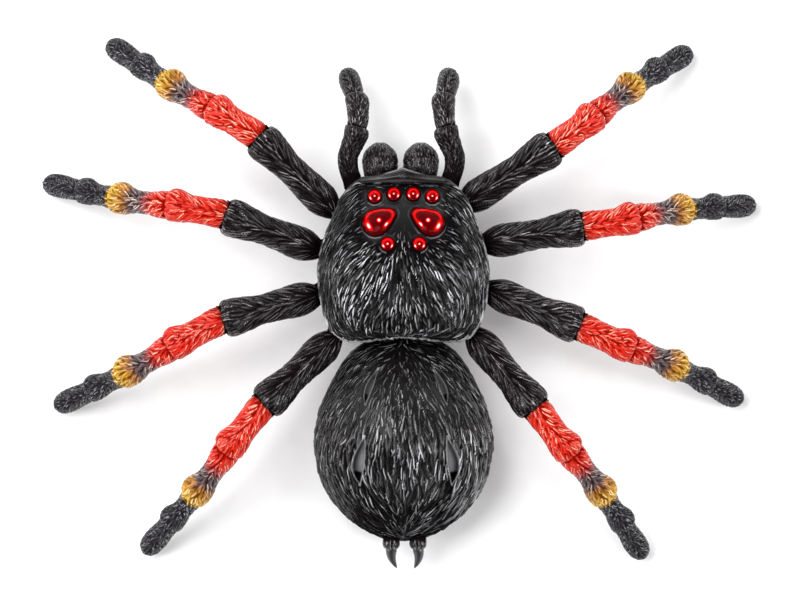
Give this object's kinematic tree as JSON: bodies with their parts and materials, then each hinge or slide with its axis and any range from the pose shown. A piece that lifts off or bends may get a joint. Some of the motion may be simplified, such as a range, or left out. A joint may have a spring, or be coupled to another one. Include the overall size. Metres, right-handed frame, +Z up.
{
  "type": "toy spider robot",
  "caption": "Battery-driven walking tarantula toy: furry black body, red lens eyes, banded swinging legs, hidden wheel drive.",
  "frame": {"origin": "centre of the footprint on the floor under the wheels", "axes": "+Y towards the head, +X towards the right side seen from above with the head up, +Z up"},
  "size_m": [0.3028, 0.2235, 0.063],
  "materials": {
    "black_shell_plastic": "moulded fur relief, satin black",
    "gloss_black_plastic": "polished black",
    "black_fur_plastic": "moulded fur relief, satin black",
    "femur_plastic": "moulded fur relief, satin black with a brown cast",
    "painted_leg_plastic": "sprayed red, yellow and grey bands over moulded fur relief",
    "red_lens_plastic": "clear tinted red",
    "chassis_plastic": "moulded black",
    "white_acetal": "natural white",
    "natural_nylon": "natural white",
    "grey_gearbox_plastic": "moulded grey",
    "brass": "machined",
    "polished_steel": "polished",
    "zinc_plated_steel": "zinc plated",
    "nickel_spring": "nickel plated spring steel",
    "wheel_plastic": "moulded black",
    "black_rubber": "soft tyre rubber",
    "battery_tray_plastic": "moulded dark grey",
    "battery_sleeve": "plain printed sleeve over steel",
    "circuit_board": "green solder mask",
    "switch_plastic": "moulded black"
  },
  "bodies": {
    "body": {"carapace_shell": "black_shell_plastic", "battery_cover": "black_shell_plastic", "abdomen_top_shell": "black_fur_plastic", "chelicera_right": "black_fur_plastic", "chelicera_left": "black_fur_plastic", "pedipalp_right": "black_fur_plastic", "pedipalp_left": "black_fur_plastic", "front_rim": "gloss_black_plastic", "spinneret_right": "gloss_black_plastic", "spinneret_left": "gloss_black_plastic", "eye_cluster": "red_lens_plastic", "belly_shell": "chassis_plastic", "hip_plate": "chassis_plastic", "abdomen_bottom_shell": "chassis_plastic", "gearbox_plate": "grey_gearbox_plastic", "roller_pin": "polished_steel", "cover_screw": "polished_steel", "drive_motor": "zinc_plated_steel", "switch_housing": "zinc_plated_steel", "battery_contact_front": "nickel_spring", "battery_contact_rear": "nickel_spring", "battery_tray": "battery_tray_plastic", "battery_1": "battery_sleeve", "battery_2": "battery_sleeve", "battery_3": "battery_sleeve", "control_board": "circuit_board", "eye_light_board": "circuit_board"},
    "leg_right_1": {"femur_right_1": "femur_plastic", "lower_leg_right_1": "painted_leg_plastic"},
    "leg_right_2": {"femur_right_2": "femur_plastic", "lower_leg_right_2": "painted_leg_plastic"},
    "leg_right_3": {"femur_right_3": "femur_plastic", "lower_leg_right_3": "painted_leg_plastic"},
    "leg_right_4": {"femur_right_4": "femur_plastic", "lower_leg_right_4": "painted_leg_plastic"},
    "drive_bar_right": {"leg_drive_bar_right": "white_acetal"},
    "leg_left_1": {"femur_left_1": "femur_plastic", "lower_leg_left_1": "painted_leg_plastic"},
    "leg_left_2": {"femur_left_2": "femur_plastic", "lower_leg_left_2": "painted_leg_plastic"},
    "leg_left_3": {"femur_left_3": "femur_plastic", "lower_leg_left_3": "painted_leg_plastic"},
    "leg_left_4": {"femur_left_4": "femur_plastic", "lower_leg_left_4": "painted_leg_plastic"},
    "drive_bar_left": {"leg_drive_bar_left": "white_acetal"},
    "wheel_set": {"drive_axle": "polished_steel", "axle_gear": "natural_nylon", "drive_wheel_right": "wheel_plastic", "drive_wheel_left": "wheel_plastic", "tyre_right": "black_rubber", "tyre_left": "black_rubber"},
    "idler": {"idler_gear": "natural_nylon"},
    "pinion": {"motor_pinion": "brass"},
    "rear_roller": {"idler_roller": "wheel_plastic"},
    "switch_knob": {"power_switch": "switch_plastic"}
  },
  "joints": [
    {"name": "leg_right_1_swing", "type": "hinge", "parent": "body", "child": "leg_right_1", "pos_m": [0.0212, 0.0385, 0.03], "axis": [0, 0, 1], "range_deg": [-9, 9]},
    {"name": "leg_right_2_swing", "type": "hinge", "parent": "body", "child": "leg_right_2", "pos_m": [0.0286, 0.0252, 0.03], "axis": [0, 0, 1], "range_deg": [-9, 9]},
    {"name": "leg_right_3_swing", "type": "hinge", "parent": "body", "child": "leg_right_3", "pos_m": [0.0315, 0.0095, 0.03], "axis": [0, 0, 1], "range_deg": [-9, 9]},
    {"name": "leg_right_4_swing", "type": "hinge", "parent": "body", "child": "leg_right_4", "pos_m": [0.027, -0.0062, 0.03], "axis": [0, 0, 1], "range_deg": [-9, 9]},
    {"name": "drive_bar_right_slide", "type": "slide", "parent": "body", "child": "drive_bar_right", "axis": [0, 1, 0], "range_m": [-0.0013, 0.0013]},
    {"name": "leg_left_1_swing", "type": "hinge", "parent": "body", "child": "leg_left_1", "pos_m": [-0.0212, 0.0385, 0.03], "axis": [0, 0, 1], "range_deg": [-9, 9]},
    {"name": "leg_left_2_swing", "type": "hinge", "parent": "body", "child": "leg_left_2", "pos_m": [-0.0286, 0.0252, 0.03], "axis": [0, 0, 1], "range_deg": [-9, 9]},
    {"name": "leg_left_3_swing", "type": "hinge", "parent": "body", "child": "leg_left_3", "pos_m": [-0.0315, 0.0095, 0.03], "axis": [0, 0, 1], "range_deg": [-9, 9]},
    {"name": "leg_left_4_swing", "type": "hinge", "parent": "body", "child": "leg_left_4", "pos_m": [-0.027, -0.0062, 0.03], "axis": [0, 0, 1], "range_deg": [-9, 9]},
    {"name": "drive_bar_left_slide", "type": "slide", "parent": "body", "child": "drive_bar_left", "axis": [0, 1, 0], "range_m": [-0.0013, 0.0013]},
    {"name": "wheel_spin", "type": "hinge", "parent": "body", "child": "wheel_set", "pos_m": [0, 0.004, 0.012], "axis": [1, 0, 0], "continuous": true},
    {"name": "idler_gear_spin", "type": "hinge", "parent": "body", "child": "idler", "pos_m": [0.0125, 0.0104, 0.0168], "axis": [1, 0, 0], "continuous": true},
    {"name": "motor_pinion_spin", "type": "hinge", "parent": "body", "child": "pinion", "pos_m": [0.011, 0.0189, 0.0168], "axis": [1, 0, 0], "continuous": true},
    {"name": "rear_roller_spin", "type": "hinge", "parent": "body", "child": "rear_roller", "pos_m": [0, -0.091, 0.005], "axis": [1, 0, 0], "continuous": true},
    {"name": "power_switch_slide", "type": "slide", "parent": "body", "child": "switch_knob", "axis": [1, 0, 0], "range_m": [0, 0.003]}
  ],
  "couplings": [
    {"joint": "leg_right_2_swing", "follows": "leg_right_1_swing", "ratio": 1},
    {"joint": "leg_right_3_swing", "follows": "leg_right_1_swing", "ratio": 1},
    {"joint": "leg_right_4_swing", "follows": "leg_right_1_swing", "ratio": 1},
    {"joint": "drive_bar_right_slide", "follows": "leg_right_1_swing", "m_per_rad": -0.008},
    {"joint": "leg_left_1_swing", "follows": "leg_right_1_swing", "ratio": 1},
    {"joint": "leg_left_2_swing", "follows": "leg_right_1_swing", "ratio": 1},
    {"joint": "leg_left_3_swing", "follows": "leg_right_1_swing", "ratio": 1},
    {"joint": "leg_left_4_swing", "follows": "leg_right_1_swing", "ratio": 1},
    {"joint": "drive_bar_left_slide", "follows": "leg_right_1_swing", "m_per_rad": 0.008},
    {"joint": "idler_gear_spin", "follows": "wheel_spin", "ratio": -1.6667},
    {"joint": "motor_pinion_spin", "follows": "wheel_spin", "ratio": 4}
  ]
}
